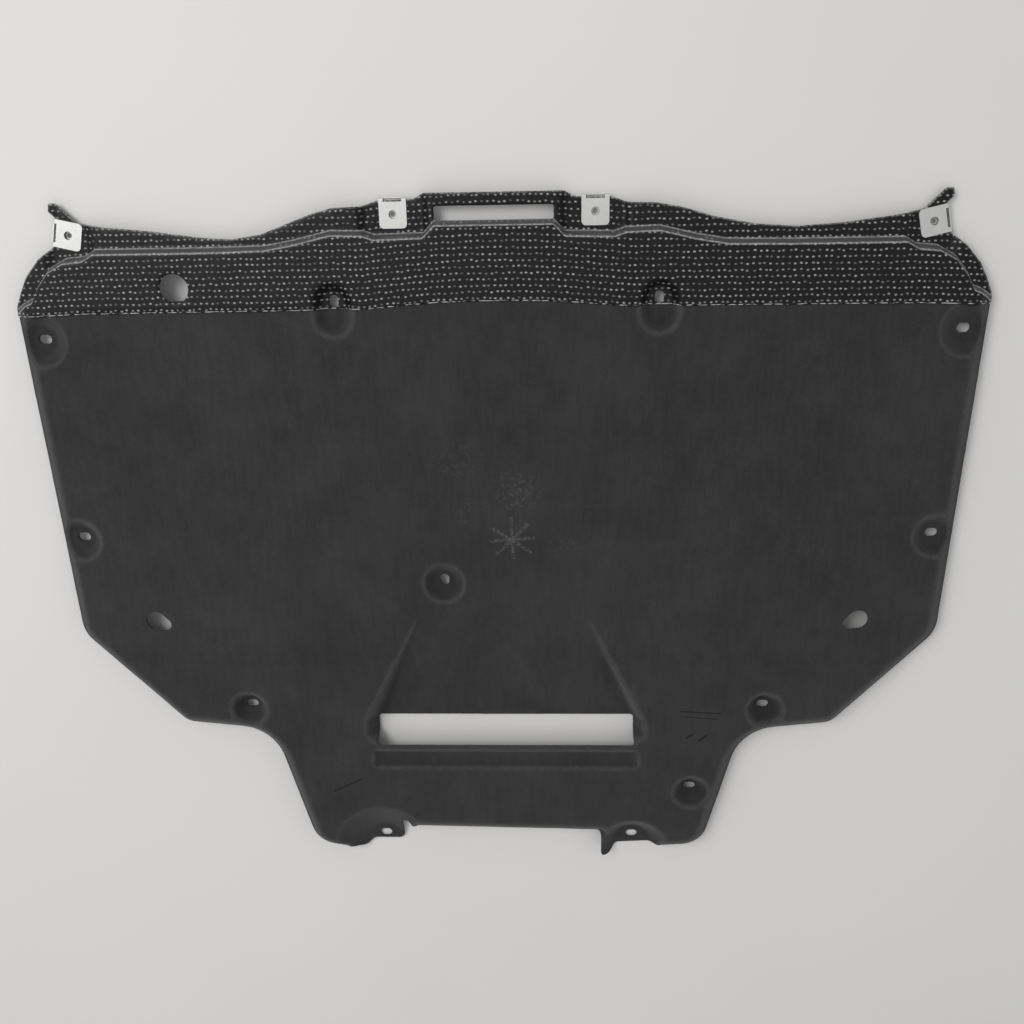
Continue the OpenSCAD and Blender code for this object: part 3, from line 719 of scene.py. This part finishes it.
def lip_outline():
    """The lip seen from above: along the seam, and back along the front edge with its two horns."""
    across = np.linspace(-LIP_HALF, LIP_HALF, REAR_POINTS)
    rear = np.stack([across, seam_at(across) + JOINT_GAP], 1)
    horn_start = HORN[0][0]
    horn_end = HORN[-1][0]
    outside = [x for x, _ in EDGE_END if x > horn_end + 2 and x < LIP_HALF] + [LIP_HALF]
    right = [(x, float(edge_at(x))) for x in sorted(outside, reverse=True)]
    horn = [(x, FRONT_Y + y) for x, y in HORN][::-1]
    middle = np.linspace(horn_start - 1.5, -horn_start + 1.5, 330)
    front = np.stack([middle, edge_at(middle)], 1)
    left = [(-x, y) for x, y in right][::-1]
    return np.concatenate([rear, right, horn, front, [(-x, y) for x, y in horn][::-1], left])


def front_lip():
    top = lip_surface()
    top += 0.1 * cloud(14.0, 21)
    back = backed(top, LIP_T)
    rear, ridge, foot = lip_lines(X)
    outer = frayed(resampled(lip_outline(), 2.2), 0.1, 31)
    holes = [box_loop(0, FRONT_Y - GRIP[2], GRIP[0], GRIP[1], 2, spacing=1.6),
             circle(ACCESS[0], float(seam_at(ACCESS[0])) + ACCESS[1], ACCESS[2] / 2)]
    for side in (-1, 1):
        slot_y = float(seam_at(SEAM_POCKET[0])) + SEAM_SLOT[0] / 2 + 1.5
        holes.append(box_loop(side * SEAM_POCKET[0], slot_y, *SEAM_SLOT, SEAM_SLOT[1] / 2 - 0.01, 90, 0.9))
        for x, below in (INNER_CLIP, OUTER_CLIP):
            holes.append(circle(side * x, FRONT_Y - below, LEAD_D / 2, 0.9))
    front = lip_outline()[REAR_POINTS:]
    fields = {"seam": Y - rear, "ridge": Y - ridge, "foot": Y - foot, "edge": distance_to(front, X, Y)}
    levels = [(1.9, 0.03), (3.2, 0.01), (5.0, 0.0)]
    piece = pressed_sheet("lip_shell", outer, [frayed(hole, 0.08, 33) for hole in holes], top, back, 0.5,
                          levels, fields)
    piece.data.materials.append(film_material())
    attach(piece, "root")
    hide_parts("front_lip")


def felt_tongue(felt):
    """The felt that runs on under the lip, in three stretches beside the seam pockets."""
    x, _, mouth_r, _ = SEAM_POCKET
    gap = mouth_r + 8
    end = SEAM_HALF - 2 * FLANGE_RUN - 22
    low, high = FACE_Z - FELT_T, LIP_FACE - LIP_T - 0.1
    spots, faces = [], []
    for left, right in ((-end, -x - gap), (-x + gap, x - gap), (x + gap, end)):
        first = len(spots)
        places = np.linspace(left, right, 60)
        for place in places:
            rear = float(seam_at(place)) - 1
            front = rear + 1 + TONGUE_LEN
            spots += [(place, rear, low), (place, front, low), (place, front, high), (place, rear, high)]
        for i in range(first, len(spots) - 4, 4):
            faces += [(i + k, i + (k + 1) % 4, i + 4 + (k + 1) % 4, i + 4 + k) for k in range(4)]
        faces += [tuple(range(first, first + 4)), tuple(range(len(spots) - 4, len(spots)))]
    piece = solid("felt_tongue", spots, faces)
    piece.data.materials.append(felt)
    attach(piece, "root")


def clip_nuts():
    metal = zinc_material()
    for name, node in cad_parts.items():
        if name.startswith("clip_nut"):
            node.data.materials.clear()
            node.data.materials.append(metal)


def stage():
    """The plain pale floor."""
    half = 4.0
    mesh = bpy.data.meshes.new("floor")
    mesh.from_pydata([(-half, -half, 0), (half, -half, 0), (half, half, 0), (-half, half, 0)], [], [(0, 1, 2, 3)])
    floor = bpy.data.objects.new("floor", mesh)
    bpy.context.scene.collection.objects.link(floor)
    m = Material("pale_floor")
    m.set(Base_Color=m.mix(m.noise(400.0, 2.0), grey(214, (0, -1, -2)), grey(220, (0, -1, -2))), Roughness=0.85)
    mesh.materials.append(m.made)


def camera():
    """The camera of the photograph: a phone's wide lens above the front edge, tipped a little down."""
    data = bpy.data.cameras.new("camera")
    data.lens = 36
    data.sensor_width = 36
    item = bpy.data.objects.new("camera", data)
    item.location = (0.0568, 0.4237, 1.0836)
    item.rotation_euler = Euler([math.radians(a) for a in (-19.025, 1.991, -1.059)])
    bpy.context.scene.collection.objects.link(item)
    bpy.context.scene.camera = item


def lights():
    world = bpy.data.worlds.new("world")
    world.use_nodes = True
    world.node_tree.nodes["Background"].inputs["Color"].default_value = (1, 1, 1, 1)
    world.node_tree.nodes["Background"].inputs["Strength"].default_value = 0.62
    bpy.context.scene.world = world
    key = bpy.data.lights.new("key", "AREA")
    key.shape = "DISK"
    key.size = 1.6
    key.energy = 42
    item = bpy.data.objects.new("key", key)
    item.location = (-1.5, 1.3, 2.4)
    item.rotation_euler = (Vector((0, 0, 0)) - item.location).to_track_quat("-Z", "Y").to_euler()
    bpy.context.scene.collection.objects.link(item)


camera()
lights()
stage()
felt_panel()
front_lip()
clip_nuts()
bpy.context.scene.view_settings.view_transform = "Standard"
